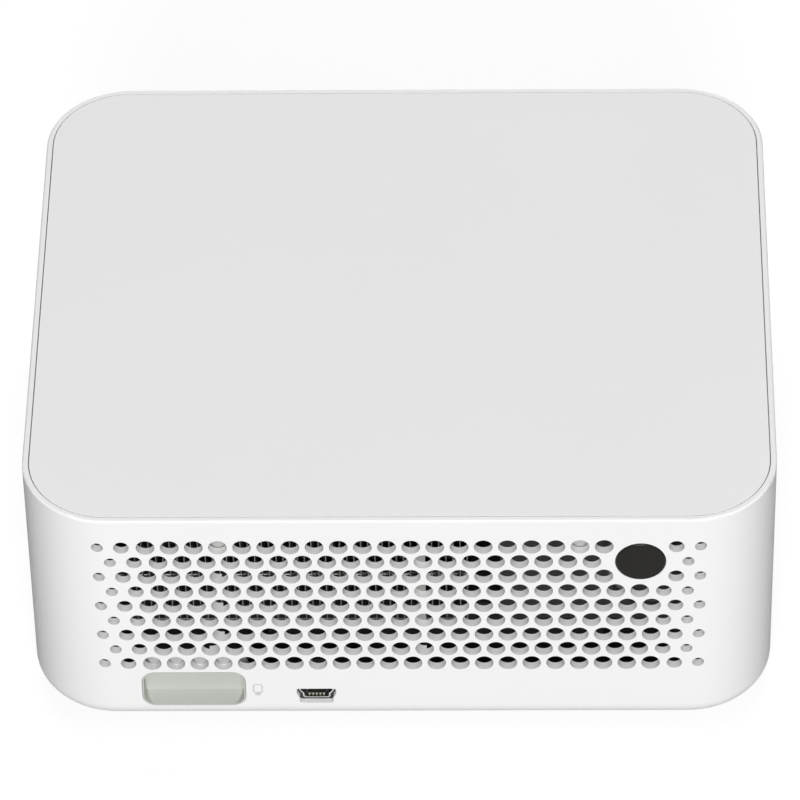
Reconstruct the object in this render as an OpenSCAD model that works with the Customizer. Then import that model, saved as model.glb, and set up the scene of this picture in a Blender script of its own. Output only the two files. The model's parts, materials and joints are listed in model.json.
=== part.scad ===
// Compact white LED projector with a slot-loading disc drive, seen from its exhaust side.
// Millimetres. +Z is up, +X is to the right of someone facing the exhaust grille,
// +Y runs from the grille to the lens. The origin is on the ground, under the middle of the body.

/* [Body] */
// Width of the housing, left to right
body_w = 165; // [164:0.5:168]
// Depth of the housing, grille to lens
body_d = 142; // [141:0.5:145]
// Height of the housing without its feet
shell_h = 62.5; // [62:0.5:65]
// Gap under the housing that the feet leave
foot_gap = 2.5; // [2:0.25:3]
// Radius of the upright corners, seen from above
corner_r = 19; // [17:0.5:19]
// Rounding of the bottom outer edge
bottom_edge_r = 4.5; // [3.5:0.25:4.75]
// Rounding of the top outer edge
top_edge_r = 0.5; // [0.3:0.1:0.6]
// Thickness of the housing wall
wall = 2; // [1.8:0.1:2.1]

/* [Top plate] */
// Width of the rim round the top plate
rim_w = 1.3; // [1.1:0.1:1.4]
// Seam between the rim and the top plate
seam = 0.25; // [0.2:0.05:0.3]
// Thickness of the top plate
plate_t = 2.2; // [2:0.1:2.4]

/* [Exhaust grille] */
// Spacing of the grille holes along a row
hole_pitch = 5.25; // [5.1:0.05:5.3]
// Radius of the grille holes
hole_r = 2.05; // [1.95:0.05:2.15]
// Radius of the last hole but one of each row
near_end_r = 1.7; // [1.6:0.05:1.8]
// Radius of the last hole of each row
end_r = 1.3; // [1.2:0.05:1.4]
// Depth of the first row below the top
first_row = 8.05; // [7.9:0.05:8.1]
// Number of rows
rows = 9; // [8:1:9]

/* [Exhaust face] */
// Centre of the dark window, to the right of the middle
window_x = 52.6; // [52:0.1:53]
// Radius of the dark window
window_r = 5.5; // [5.4:0.05:5.7]
// How far the dark window and the lens ring stand out of the wall
proud = 0.3; // [0.2:0.05:0.4]
// Centre of the wireless stick, to the left of the middle
stick_x = -46.2; // [-47:0.2:-46]
// Width of the wireless stick
stick_w = 22.9; // [22.5:0.1:23.1]
// Height of the wireless stick
stick_h = 10.5; // [10.3:0.1:10.6]
// Length of the wireless stick's body
stick_l = 45; // [40:1:45]
// Centre of the small service port
port_x = -19; // [-19.5:0.1:-18.5]

/* [Lens face] */
// Centre of the lens, to the left of the middle
lens_x = -28; // [-29:0.5:-27]
// Room above and below the lens opening
lens_margin = 1.35; // [1.2:0.05:1.7]
// Number of ribs round the focus ring
ring_ribs = 36; // [24:1:40]

/* [Disc drive] */
// Height of the disc slot
slot_h = 4.4; // [4.3:0.1:4.5]
// Half the width of the disc slot
slot_half = 60.8; // [60.4:0.1:61]

/* [Hidden] */
$fn = 48;
top_z = foot_gap + shell_h;
row_step = hole_pitch*sin(60);
back = -body_d/2;
front = body_d/2;
in_back = back + wall;
in_front = front - wall;
in_right = body_w/2 - wall;
plate_z = top_z - plate_t;
ledge_z = plate_z - 2;
lip_top = foot_gap + 4;
base_z = foot_gap + 0.5;
base_top = base_z + 2;
window_z = top_z - first_row - row_step;
stick_z = foot_gap + 9.875;
bay_wall = 0.8;
bay_top = stick_z + stick_h/2 + 0.2 + bay_wall;
bay_end = back + stick_l + 0.4;
port_z = foot_gap + 7.6;
port_board_z = port_z - 2.95;
deck_z = bay_top + 0.3;
disc_z = deck_z + 1;
cover_z = disc_z + slot_h;
cover_top = cover_z + 0.8;
disc_y = front - 64.5;
roller_y = front - 11;
tub_z = deck_z - 10.9;
fan_half = (plate_z - cover_top - 0.475)/2;
fan_z = cover_top + fan_half;
fan_y = back + 33.5;
fan_t = 10;
upper_pipe_x = 11.5 - body_w/2;
lower_pipe_x = upper_pipe_x + 6;
pipe_r = 2.2;
pipe_fit = 0.03;
fin_x0 = lower_pipe_x + 5;
fin_y0 = back + 8.6;
fin_y1 = back + 32;
upper_pipe_y = back + 12;
lower_pipe_y = back + 27;
left_fan_x = fin_x0 - 0.6 + fan_half;
right_fan_x = left_fan_x + 2*fan_half + 1.8;
speaker_x0 = right_fan_x + fan_half + 6.4;
board_z = cover_top + 2.6;
board_t = 1.6;
board_top = board_z + board_t;
key_z = cover_top + 8.875;
power_x = body_w/2 - 40.5;
eject_x = body_w/2 - 26.5;
key_r = 3.2;
engine_z = cover_top + 1.6;
engine_top = plate_z - 5.075;
engine_x0 = lens_x - 24;
engine_x1 = lens_x + 36;
engine_y0 = fan_y + fan_t + 5.5;
engine_y1 = engine_y0 + 40;
low_lamp_y = engine_y0 + 15;
low_lamp_z = engine_z + 9;
high_lamp_y = engine_y0 + 30;
high_lamp_z = engine_top - 9;
side_lamp_x = lens_x + 18;
chip_y = engine_y0 + 22;
lens_z = (cover_top + ledge_z)/2;
lens_open_r = (ledge_z - cover_top)/2 - lens_margin;
barrel_r = lens_open_r - 5.3;
glass_r = barrel_r - 2.8;
board_x0 = engine_x1 + 12;
board_x1 = in_right - 2.6;
board_y0 = fan_y + fan_t + 0.5;
board_y1 = front - 13;
io_x = body_w/2 - wall;
inlet_y = -10;
video_y = 9;
memory_y = 32;
upper_pipe_z = foot_gap + 34.4;
lower_pipe_z = cover_top + 3.2;
fin_pitch = 1.555;
fin_t = 0.2;
fin_gaps = floor((speaker_x0 - 6.8 - fin_x0)/fin_pitch);
fin_x1 = fin_x0 + fin_gaps*fin_pitch + fin_t;
driver_x = in_right - 24.5;
driver_z = cover_top + 14.5;
pin_y = front - 11;
pin_z = base_z - 1.35;
bush_y = front - 40;

// a block given by its limits along each direction
module block(x0, x1, y0, y1, z0, z1) {
  translate([x0, y0, z0]) cube([x1 - x0, y1 - y0, z1 - z0]);
}

// round rods along each direction
module rod_x(y, z, r, x0, x1) {
  translate([x0, y, z]) rotate([0, 90, 0]) cylinder(r = r, h = x1 - x0);
}

module rod_y(x, z, r, y0, y1) {
  translate([x, y1, z]) rotate([90, 0, 0]) cylinder(r = r, h = y1 - y0);
}

module rod_z(x, y, r, z0, z1) {
  translate([x, y, z0]) cylinder(r = r, h = z1 - z0);
}

// the outline of the body seen from above, drawn in by inset
module outline(inset) {
  r = corner_r - inset;
  w = body_w/2 - inset;
  d = body_d/2 - inset;
  square([2*(w - r), 2*d], center = true);
  square([2*w, 2*(d - r)], center = true);
  for (sx = [-1, 1]) for (sy = [-1, 1])
    translate([sx*(w - r), sy*(d - r)]) circle(r = r);
}

module prism(inset, z0, z1) {
  translate([0, 0, z0]) linear_extrude(z1 - z0) outline(inset);
}

module square_at(x0, y0, x1, y1) {
  translate([x0, y0]) square([x1 - x0, y1 - y0]);
}

// half of the body's upright section, rounded at the bottom and top edge
module edge_profile(reach) {
  lo = foot_gap;
  square_at(0, lo + bottom_edge_r, reach, top_z - top_edge_r);
  square_at(0, lo, reach - bottom_edge_r, top_z);
  square_at(0, lo + bottom_edge_r, reach - top_edge_r, top_z);
  translate([reach - bottom_edge_r, lo + bottom_edge_r]) circle(r = bottom_edge_r);
  translate([reach - top_edge_r, top_z - top_edge_r]) circle(r = top_edge_r);
}

module full_profile(reach) {
  edge_profile(reach);
  mirror([1, 0]) edge_profile(reach);
}

// the outer form: two crossing bands and a round pillar in each corner
module outer_form() {
  across = body_w - 2*corner_r;
  along = body_d - 2*corner_r;
  rotate([90, 0, 90]) translate([0, 0, -across/2]) linear_extrude(across) full_profile(body_d/2);
  rotate([90, 0, 0]) translate([0, 0, -along/2]) linear_extrude(along) full_profile(body_w/2);
  for (sx = [-1, 1]) for (sy = [-1, 1])
    translate([sx*across/2, sy*along/2, 0]) rotate_extrude() edge_profile(corner_r);
}

// a rounded rectangle, centred, for the openings in the walls
module round_rect(w, h, r) {
  square([w - 2*r, h], center = true);
  square([w, h - 2*r], center = true);
  for (sx = [-1, 1]) for (sy = [-1, 1])
    translate([sx*(w/2 - r), sy*(h/2 - r)]) circle(r = r);
}

// section of the service port: wide above, narrower below, with its corners cut
module port_form(w, h, low_w) {
  cut = 0.4;
  polygon([[cut - w, h], [-w, h - cut], [-w, 0.3*h], [-low_w, -0.3*h], [-low_w, cut - h],
           [cut - low_w, -h], [low_w - cut, -h], [low_w, cut - h], [low_w, -0.3*h],
           [w, 0.3*h], [w, h - cut], [w - cut, h]]);
}

// a flat shape stood up on the exhaust side, from y0 to y1
module stand_y(x, z, y0, y1) {
  translate([x, y1, z]) rotate([90, 0, 0]) linear_extrude(y1 - y0) children();
}

// height of a row of holes
function row_z(row) = top_z - first_row - row*row_step;

// the exhaust grille: staggered rows of holes that shrink at both ends
module exhaust_holes() {
  for (row = [0:rows - 1]) {
    count = 26 - row%2;
    for (i = [0:count - 1]) {
      col = i - (count - 1)/2;
      x = col*hole_pitch;
      near_window = abs(x - window_x) < 9 && row < 3 && abs(x - window_x) + abs(row - 1)*4 < 10.5;
      end = min(i, count - 1 - i);
      r = end == 0 ? end_r : end == 1 ? near_end_r : hole_r;
      if (!near_window) rod_y(x, row_z(row), r, back - 1, in_back + 1.5);
    }
  }
}

// the air intake on the left side
module intake_holes() {
  for (row = [1:6]) {
    count = 14 - row%2;
    for (i = [0:count - 1]) {
      y = (i - (count - 1)/2)*hole_pitch;
      rod_x(y, row_z(row), hole_r, -body_w/2 - 1, -in_right + 0.5);
    }
  }
}

// the four spots that lie x and y from the middle
function corners(x, y) = [[-x, -y], [x, -y], [-x, y], [x, y]];

tub_posts = [[-22, back + 23], [38, back + 23], [-22, disc_y + 5.5], [38, disc_y + 5.5]];
screw_spots = corners(body_w/2 - 11.5, body_d/2 - 27);
foot_spots = corners(body_w/2 - 22.5, body_d/2 - 21);
deck_posts = [[4.8 - slot_half, front - 37], [4.8 - slot_half, bay_end + 27.6],
              [slot_half - 3.8, back + 33], [slot_half - 3.8, front - 37]];

// outer case: walls, rim and ledge for the top plate, lip for the base plate
module bare_shell() {
  difference() {
    outer_form();
    prism(wall, lip_top, ledge_z);
    prism(4.6, ledge_z - 1, plate_z);
    prism(rim_w, plate_z, top_z + 1);
    prism(6.5, foot_gap - 1, base_top);
    prism(8.5, base_top - 1, lip_top + 1);
    intake_holes();
  }
}

// low pads behind the wall, drilled with the grille, so some holes look deeper on one side
module wall_pads() {
  for (row = [2, 4, 6]) wall_pad(-7.5*hole_pitch - 2.4, row);
  wall_pad(-8*hole_pitch - 0.4, 7);
  wall_pad(hole_pitch - 2.45, 7);
}

module wall_pad(x, row) {
  block(x, x + 2.85, in_back - 0.5, in_back + 1, row_z(row) - 2.6, row_z(row) + 1);
}

module housing_shell() {
  color([0.95, 0.95, 0.95])
    difference() {
      union() {
        difference() {
          union() {
            bare_shell();
            wall_pads();
          }
          exhaust_holes();
        }
        stand_y(stick_x, stick_z, in_back - 0.5, in_back + 3.4)
          round_rect(stick_w + 1.4, 2*(bay_top - stick_z), 3.9);
        for (p = screw_spots) rod_z(p[0], p[1], 3.6, base_top, base_top + 11);
        for (p = screw_spots)
          block(min(p[0], sign(p[0])*(in_right + 0.5)), max(p[0], sign(p[0])*(in_right + 0.5)),
                p[1] - 1, p[1] + 1, base_top, base_top + 11);
      }
      for (p = screw_spots) rod_z(p[0], p[1], 1.05, base_top - 1, base_top + 9);
      rod_y(window_x, window_z, window_r + 0.08, back - 1, in_back + 1);
      stand_y(stick_x, stick_z, back - 1, in_back + 4) round_rect(stick_w + 0.2, stick_h + 0.2, 3.1);
      stand_y(port_x, port_z, back - 1, in_back + 1) port_form(4.38, 2.25, 3.75);
      rod_y(lens_x, lens_z, lens_open_r, in_front - 1, front + 1);
      block(-slot_half, slot_half, in_front - 1, front + 1, disc_z, cover_z);
      rod_y(power_x, key_z, key_r + 0.2, in_front - 1, front + 1);
      rod_y(eject_x, key_z, key_r + 0.2, in_front - 1, front + 1);
      rod_x(inlet_y, board_top + 4.5, 3.6, io_x - 1, body_w/2 + 1);
      socket_opening(video_y, 7.8, 6.2);
      socket_opening(memory_y, 7.1, 7.4);
    }
}

module socket_opening(y, half, h) {
  block(io_x - 1, body_w/2 + 1, y - half, y + half, board_top - 0.3, board_top + h);
}

// flat lid, level with the rim, with four tabs inside the ledge
module top_plate() {
  color([0.89, 0.89, 0.89]) {
    prism(rim_w + seam, plate_z, top_z);
    for (s = [-1, 1]) {
      x = s*(body_w/2 - 5.45);
      block(x - 0.65, x + 0.65, -12, 12, ledge_z - 0.5, plate_z + 1);
    }
    block(-12, 12, front - 6.1, front - 4.8, ledge_z - 0.5, plate_z + 1);
    block(12, 30, back + 4.8, back + 6.1, ledge_z - 0.5, plate_z + 1);
  }
}

// underside plate with posts for the drive, pads for the port board and lugs for the stand
module base_plate() {
  color([0.25, 0.25, 0.26]) {
    difference() {
      union() {
        prism(6.75, base_z, base_top);
        for (p = deck_posts) rod_z(p[0], p[1], 3, base_top - 0.5, deck_z);
        for (x = [port_x - 7, port_x + 10])
          block(x - 2, x + 2, back + 10, back + 15, base_top - 0.5, port_board_z);
        for (p = tub_posts) rod_z(p[0], p[1], 4, base_top - 0.5, tub_z);
        block(stick_x - 9, stick_x + 9, back + 27, back + 41, base_top - 0.5, lip_top);
        for (x = [-20, 17]) block(x, x + 3, pin_y - 1.4, pin_y + 1.4, base_z - 2.5, base_z + 0.5);
      }
      for (p = screw_spots) rod_z(p[0], p[1], 1.15, base_z - 1, base_top + 1);
      for (p = screw_spots) rod_z(p[0], p[1], 2.3, base_z - 1, base_z + 1);
      for (p = foot_spots) rod_z(p[0], p[1], 1.65, base_z - 1, base_top + 1);
      rod_z(0, bush_y, 4.55, base_z - 1, base_top + 1);
      rod_x(pin_y, pin_z, 0.8, -21, 21);
      for (x = [-40:8:40]) block(x - 1, x + 1, -34, -8, base_z - 1, base_top + 1);
    }
  }
}

// four feet with stems pushed into the base plate
module rubber_feet() {
  color([0.16, 0.16, 0.16])
    for (p = foot_spots) {
      rod_z(p[0], p[1], 6, 0, base_z);
      rod_z(p[0], p[1], 1.6, base_z - 0.5, base_top);
    }
}

// four cross-head screws that hold the base plate
module base_screws() {
  color([0.6, 0.6, 0.62])
    difference() {
      for (p = screw_spots) {
        rod_z(p[0], p[1], 2.1, base_z, base_z + 1);
        rod_z(p[0], p[1], 1, base_z + 0.5, base_top + 7);
      }
      for (p = screw_spots) {
        block(p[0] - 1.2, p[0] + 1.2, p[1] - 0.25, p[1] + 0.25, base_z - 1, base_z + 0.5);
        block(p[0] - 0.25, p[0] + 0.25, p[1] - 1.2, p[1] + 1.2, base_z - 1, base_z + 0.5);
      }
    }
}

// brass bush with a blind hole for a camera tripod's screw
module tripod_bush() {
  color([0.78, 0.62, 0.3])
    difference() {
      union() {
        rod_z(0, bush_y, 4.5, base_z, base_top + 6);
        rod_z(0, bush_y, 6.5, base_top, base_top + 1.5);
      }
      rod_z(0, bush_y, 3.3, base_z - 1, base_top + 5);
    }
}

// flap that swings down under the lens side to tip the beam up
module tilt_stand() {
  color([0.25, 0.25, 0.26])
    difference() {
      union() {
        block(-16.7, 16.7, pin_y - 18, pin_y, base_z - 2.1, base_z - 0.6);
        rod_x(pin_y, pin_z, 1.15, -16.7, 16.7);
      }
      rod_x(pin_y, pin_z, 0.85, -18, 18);
      block(-8, 8, pin_y - 19, pin_y - 13, base_z - 3, base_z);
    }
}

module stand_pin() {
  color([0.7, 0.7, 0.72]) rod_x(pin_y, pin_z, 0.8, -20, 20);
}

// dark window for the remote control's signal: round-edged, with a flange behind the wall
module remote_window() {
  edge = 0.45;
  long = wall + proud + 0.8;
  color([0.1, 0.09, 0.08]) {
    translate([window_x, back - proud, window_z]) rotate([-90, 0, 0]) rotate_extrude() {
      square_at(0, 0, window_r - edge, long);
      square_at(0, edge, window_r, long);
      translate([window_r - edge, edge]) circle(r = edge);
    }
    rod_y(window_x, window_z, window_r + 0.9, in_back, in_back + 0.8);
  }
}

// receiver on its board, fixed to the front of the speaker box
module remote_board() {
  color([0.1, 0.3, 0.15]) {
    block(window_x - 7, window_x + 7, back + 7.6, back + 8.8, window_z - 4.6, window_z + 5.4);
    block(window_x - 2.6, window_x + 2.6, back + 5, back + 8, window_z - 3, window_z + 3);
    rod_y(window_x, window_z, 1.8, back + 3.6, back + 5.2);
  }
}

// light grey bar under the ledge, with a post at each end close behind the grille
module inner_frame() {
  post_x = 7.5*hole_pitch;
  color([0.72, 0.72, 0.72]) {
    for (s = [-1, 1]) rod_z(s*post_x, in_back + 3.05, 2.75, ledge_z - 7.8, ledge_z);
    block(-post_x - 1.4, post_x + 1.4, in_back + 5, in_back + 6.4, ledge_z - 3, ledge_z);
  }
}

// grey strip on the back of the wall that half fills three holes of one column
module grille_strip() {
  x = hole_pitch + 0.4;
  color([0.45, 0.45, 0.45]) {
    block(x - 0.9, x, in_back, in_back + 1.5, row_z(5) - 2.4, row_z(1) + 0.6);
    for (row = [1, 3, 5])
      block(x - 2.65, x - 0.5, in_back, in_back + 1.5, row_z(row) - 2.4, row_z(row) + 0.6);
  }
}

// wireless stick: its end is level with the wall and hollowed, with a floor that slopes up
module wireless_stick() {
  rim = 0.35;
  color([0.76, 0.78, 0.75])
    difference() {
      stand_y(stick_x, stick_z, back, back + stick_l) round_rect(stick_w, stick_h, 3);
      intersection() {
        stand_y(stick_x, stick_z, back - 1, back + 3.45)
          round_rect(stick_w - 2*rim, stick_h - 2*rim, 3 - rim);
        translate([stick_x, back, stick_z - stick_h/2 + rim]) rotate([20, 0, 0])
          block(-stick_w, stick_w, -stick_h, stick_h, 0, 2*stick_h);
      }
      stand_y(stick_x, stick_z, back + stick_l - 1, back + stick_l + 1) square([12.1, 4.6], center = true);
    }
}

module stick_plug() {
  color([0.78, 0.78, 0.8])
    difference() {
      stand_y(stick_x, stick_z, back + stick_l - 1, back + stick_l + 11.5) square([12, 4.5], center = true);
      stand_y(stick_x, stick_z + 1, back + stick_l + 1, back + stick_l + 12) square([11.2, 1.7], center = true);
    }
}

// sleeve behind the wall that the wireless stick slides into
module stick_bay() {
  color([0.1, 0.1, 0.1])
    difference() {
      block(stick_x - stick_w/2 - 1.1, stick_x + stick_w/2 + 1.1, in_back + 3.5, bay_end + 1,
            lip_top, bay_top);
      stand_y(stick_x, stick_z, in_back - 1, bay_end) round_rect(stick_w + 0.6, stick_h + 0.4, 3);
      stand_y(stick_x, stick_z, bay_end - 1, bay_end + 2) square([13, 5.6], center = true);
    }
}

module stick_socket() {
  color([0.7, 0.7, 0.72])
    difference() {
      stand_y(stick_x, stick_z, bay_end + 1, bay_end + 15) square([14.4, 7], center = true);
      stand_y(stick_x, stick_z, bay_end, bay_end + 13) square([12.5, 5], center = true);
    }
}

// small five-contact service port: a folded metal shell
module service_port() {
  color([0.75, 0.75, 0.77])
    difference() {
      stand_y(port_x, port_z, back + 1.2, back + 9.4) port_form(3.85, 1.8, 3.05);
      stand_y(port_x, port_z, back, back + 8.6) port_form(3.55, 1.5, 2.75);
    }
}

// contact tongue, and the dark frame round the shell where it meets the wall
module port_tongue() {
  color([0.08, 0.08, 0.08]) {
    block(port_x - 2, port_x + 2, back + 1.45, back + 8.6, port_z - 1.1, port_z - 0.4);
    difference() {
      stand_y(port_x, port_z, back + 1.25, in_back + 0.35) port_form(4.33, 2.2, 3.7);
      stand_y(port_x, port_z, back, in_back + 1) port_form(3.85, 1.8, 3.05);
    }
  }
}

module port_board() {
  color([0.1, 0.3, 0.15]) {
    block(port_x - 9.5, port_x + 13, back + 2.4, back + 15.2, port_board_z, port_z - 1.8);
    block(port_x + 5, port_x + 11, back + 8, back + 14, port_board_z + 0.5, port_z - 0.4);
  }
}

// finned block cooled by both fans: folded sheets with flanges along the top and bottom
module heatsink_fins() {
  fin_z0 = cover_top + 0.2;
  fin_z1 = ledge_z - 0.875;
  color([0.72, 0.73, 0.75])
    difference() {
      union() {
        for (i = [0:fin_gaps]) {
          x = fin_x0 + i*fin_pitch;
          block(x, x + fin_t, fin_y0, fin_y1, fin_z0, fin_z1);
        }
        for (z = [fin_z0, fin_z1 - 0.4]) block(fin_x0, fin_x1, fin_y0 + 0.3, fin_y1, z, z + 0.4);
      }
      rod_x(upper_pipe_y, upper_pipe_z, pipe_r + pipe_fit, fin_x0 - 5, fin_x1 + 5);
      rod_x(lower_pipe_y, lower_pipe_z, pipe_r + pipe_fit, fin_x0 - 5, fin_x1 + 5);
    }
}

// two sealed pipes that carry heat from the lamps to the fins
module heat_pipes() {
  color([0.7, 0.69, 0.66]) {
    heat_pipe(upper_pipe_x, upper_pipe_y, upper_pipe_z, high_lamp_y + 6);
    heat_pipe(lower_pipe_x, lower_pipe_y, lower_pipe_z, low_lamp_y + 6);
  }
}

// one pipe: across the fins at y, then along the left side as far as y1
module heat_pipe(x, y, z, y1) {
  rod_x(y, z, pipe_r, x, fin_x1 + 0.6);
  translate([x, y, z]) sphere(r = pipe_r);
  rod_y(x, z, pipe_r, y, y1);
}

// square fan frame with a motor cup on three struts
module fan_frame(x) {
  translate([x, fan_y, fan_z]) {
    difference() {
      block(-fan_half, fan_half, 0, fan_t, -fan_half, fan_half);
      rod_y(0, 0, fan_half - 1.2, -1, fan_t + 1);
      for (p = corners(fan_half - 2.6, fan_half - 2.6)) rod_y(p[0], p[1], 1.5, -1, fan_t + 1);
    }
    rod_y(0, 0, 8, fan_t - 1.2, fan_t);
    rod_y(0, 0, 0.8, 1.6, fan_t);
    for (a = [30, 150, 270]) rotate([0, a, 0])
      block(6, fan_half - 0.6, fan_t - 1.2, fan_t, -0.8, 0.8);
  }
}

// fan wheel: a cup with seven slanted blades
module fan_rotor(x) {
  translate([x, fan_y, fan_z])
    difference() {
      union() {
        rod_y(0, 0, 8.2, 0.8, fan_t - 1.8);
        intersection() {
          rod_y(0, 0, fan_half - 1.7, 0.8, fan_t - 1.8);
          for (i = [0:6]) rotate([0, i*360/7, 0]) translate([6, fan_t/2 - 0.5, 0]) rotate([38, 0, 0])
            translate([0, -6, -0.4]) cube([fan_half, 12, 0.8]);
        }
      }
      rod_y(0, 0, 7.2, 2.4, fan_t);
      rod_y(0, 0, 0.86, 1.4, 4);
    }
}

// boss inside a fan wheel, round the fixed shaft
module rotor_boss(x) {
  translate([x, fan_y, fan_z])
    difference() {
      rod_y(0, 0, 2, 2, 7.5);
      rod_y(0, 0, 0.86, 1.4, 9);
    }
}

module left_fan_frame() { color([0.12, 0.12, 0.12]) fan_frame(left_fan_x); }

module right_fan_frame() { color([0.12, 0.12, 0.12]) fan_frame(right_fan_x); }

module left_fan_rotor() {
  color([0.2, 0.2, 0.2]) {
    fan_rotor(left_fan_x);
    rotor_boss(left_fan_x);
  }
}

module right_fan_rotor() {
  color([0.2, 0.2, 0.2]) {
    fan_rotor(right_fan_x);
    rotor_boss(right_fan_x);
  }
}

// the plan of the light box, drawn in by inset
module engine_block(inset, z0, z1) {
  block(engine_x0 + inset, engine_x1 - inset, engine_y0 + inset, engine_y1 - inset, z0, z1);
}

// cast box that holds the light path
module engine_housing() {
  color([0.35, 0.35, 0.37])
    difference() {
      union() {
        engine_block(0, engine_z, engine_top);
        for (x = [engine_x0 + 4, engine_x1 - 4]) for (y = [engine_y0 + 4, engine_y1 - 4])
          rod_z(x, y, 3, cover_top, engine_z + 1);
      }
      engine_block(2, engine_z + 2, engine_top + 1);
      rod_y(lens_x, lens_z, barrel_r + 0.1, engine_y1 - 3, engine_y1 + 1);
      rod_x(low_lamp_y, low_lamp_z, 4.5, engine_x0 - 1, engine_x0 + 3);
      rod_x(high_lamp_y, high_lamp_z, 4.5, engine_x0 - 1, engine_x0 + 3);
      rod_y(side_lamp_x, lens_z, 5, engine_y0 - 1, engine_y0 + 3);
      block(engine_x1 - 3, engine_x1 + 1, chip_y - 6, chip_y + 6, lens_z - 5, lens_z + 5);
    }
}

module engine_cover() {
  color([0.4, 0.4, 0.42]) {
    engine_block(0, engine_top, engine_top + 1.4);
    engine_block(2.2, engine_top - 1, engine_top + 0.5);
  }
}

// three lamps on their blocks: two reach the heat pipes, the third backs on the right fan
module lamp_modules() {
  color([0.8, 0.55, 0.35]) {
    difference() {
      union() {
        block(lower_pipe_x, engine_x0, low_lamp_y - 6, low_lamp_y + 6, cover_top, low_lamp_z + 5);
        block(upper_pipe_x, engine_x0, high_lamp_y - 6, high_lamp_y + 6,
              upper_pipe_z - pipe_r, high_lamp_z + 7);
      }
      rod_y(lower_pipe_x, lower_pipe_z, pipe_r + pipe_fit, low_lamp_y - 8, low_lamp_y + 8);
      rod_y(upper_pipe_x, upper_pipe_z, pipe_r + pipe_fit, high_lamp_y - 8, high_lamp_y + 8);
    }
    block(side_lamp_x - 8, side_lamp_x + 8, engine_y0 - 2, engine_y0, lens_z - 8, lens_z + 8);
    rod_x(low_lamp_y, low_lamp_z, 4, engine_x0 - 0.5, engine_x0 + 1.5);
    rod_x(high_lamp_y, high_lamp_z, 4, engine_x0 - 0.5, engine_x0 + 1.5);
    rod_y(side_lamp_x, lens_z, 4.5, engine_y0 - 0.5, engine_y0 + 1.5);
  }
}

// imaging chip on its upright board
module chip_board() {
  color([0.1, 0.3, 0.15]) {
    block(engine_x1, engine_x1 + 1.6, engine_y0 + 3, engine_y1 - 3, engine_z + 2, engine_top - 1);
    block(engine_x1 - 1.4, engine_x1 + 0.5, chip_y - 5.5, chip_y + 5.5, lens_z - 4.5, lens_z + 4.5);
    block(engine_x1 + 1, engine_x1 + 4, chip_y - 9, chip_y + 9, lens_z - 7, lens_z + 7);
  }
}

module prism_block() {
  color([0.8, 0.9, 0.95, 0.4]) {
    block(lens_x - 8, lens_x + 8, chip_y - 8, chip_y + 8, engine_z + 2, engine_top - 6);
  }
}

// fixed tube of the lens, bolted to the light box by its flange
module lens_barrel() {
  color([0.1, 0.1, 0.1])
    difference() {
      union() {
        rod_y(lens_x, lens_z, barrel_r, engine_y1 - 2, in_front - 5);
        rod_y(lens_x, lens_z, barrel_r + 3.8, engine_y1, engine_y1 + 3);
      }
      rod_y(lens_x, lens_z, barrel_r - 1.2, engine_y1 - 3, front);
    }
}

// ribbed ring that a finger turns through the lens opening to focus
module focus_ring() {
  color([0.14, 0.14, 0.14])
    difference() {
      union() {
        rod_y(lens_x, lens_z, barrel_r + 2.4, in_front - 17, front - 2.6);
        for (i = [0:ring_ribs - 1])
          translate([lens_x, 0, lens_z]) rotate([0, i*360/ring_ribs, 0])
            block(barrel_r + 1.8, barrel_r + 2.9, in_front - 16, in_front - 3, -0.45, 0.45);
      }
      rod_y(lens_x, lens_z, barrel_r + 0.06, in_front - 18, in_front - 4.5);
      rod_y(lens_x, lens_z, barrel_r - 0.8, in_front - 18, front);
    }
}

// inner tube that carries the glass and creeps along the barrel
module lens_cell() {
  color([0.08, 0.08, 0.08])
    difference() {
      rod_y(lens_x, lens_z, barrel_r - 1.26, in_front - 25, in_front - 2);
      rod_y(lens_x, lens_z, glass_r, in_front - 26, front);
    }
}

module lens_glass() {
  color([0.75, 0.85, 0.95, 0.4]) {
    intersection() {
      rod_y(lens_x, lens_z, glass_r, in_front - 12, in_front - 3);
      translate([lens_x, in_front - 25.5, lens_z]) sphere(r = 22);
    }
    intersection() {
      rod_y(lens_x, lens_z, glass_r, in_front - 24, in_front - 19);
      translate([lens_x, in_front - 4.5, lens_z]) sphere(r = 19);
    }
  }
}

module lens_bezel() {
  color([0.06, 0.06, 0.06])
    difference() {
      union() {
        rod_y(lens_x, lens_z, lens_open_r - 0.1, in_front - 0.5, front + proud);
        rod_y(lens_x, lens_z, lens_open_r + 1, in_front - 1.2, in_front);
      }
      rod_y(lens_x, lens_z, barrel_r + 3.3, in_front - 2, front + 1);
    }
}

// closed box for the loudspeaker, which fires at the grille
module speaker_box() {
  x0 = speaker_x0;
  x1 = in_right - 4.5;
  y0 = back + 8.8;
  y1 = back + 40;
  z0 = cover_top + 0.6;
  z1 = plate_z - 3.675;
  color([0.1, 0.1, 0.1]) {
    difference() {
      block(x0, x1, y0, y1, z0, z1);
      block(x0 + 1.6, x1 - 1.6, y0 + 1.6, y1 - 1.6, z0 + 1.6, z1 - 1.6);
      rod_y(driver_x, driver_z, 10.2, y0 - 1, y0 + 2);
    }
    for (x = [x0 + 8, x1 - 18]) rod_z(x, back + 30, 2.5, cover_top, z0 + 0.5);
  }
}

module speaker_frame() {
  color([0.3, 0.3, 0.32])
    difference() {
      union() {
        rod_y(driver_x, driver_z, 11.6, back + 10.4, back + 11.4);
        rod_y(driver_x, driver_z, 9.6, back + 10.4, back + 18);
      }
      rod_y(driver_x, driver_z, 8.8, back + 9, back + 17);
      rod_y(driver_x, driver_z, 4.2, back + 9, back + 20);
    }
}

module speaker_magnet() {
  color([0.45, 0.45, 0.47])
    difference() {
      rod_y(driver_x, driver_z, 8.5, back + 18, back + 24);
      rod_y(driver_x, driver_z, 4.2, back + 17, back + 23);
    }
}

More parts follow.
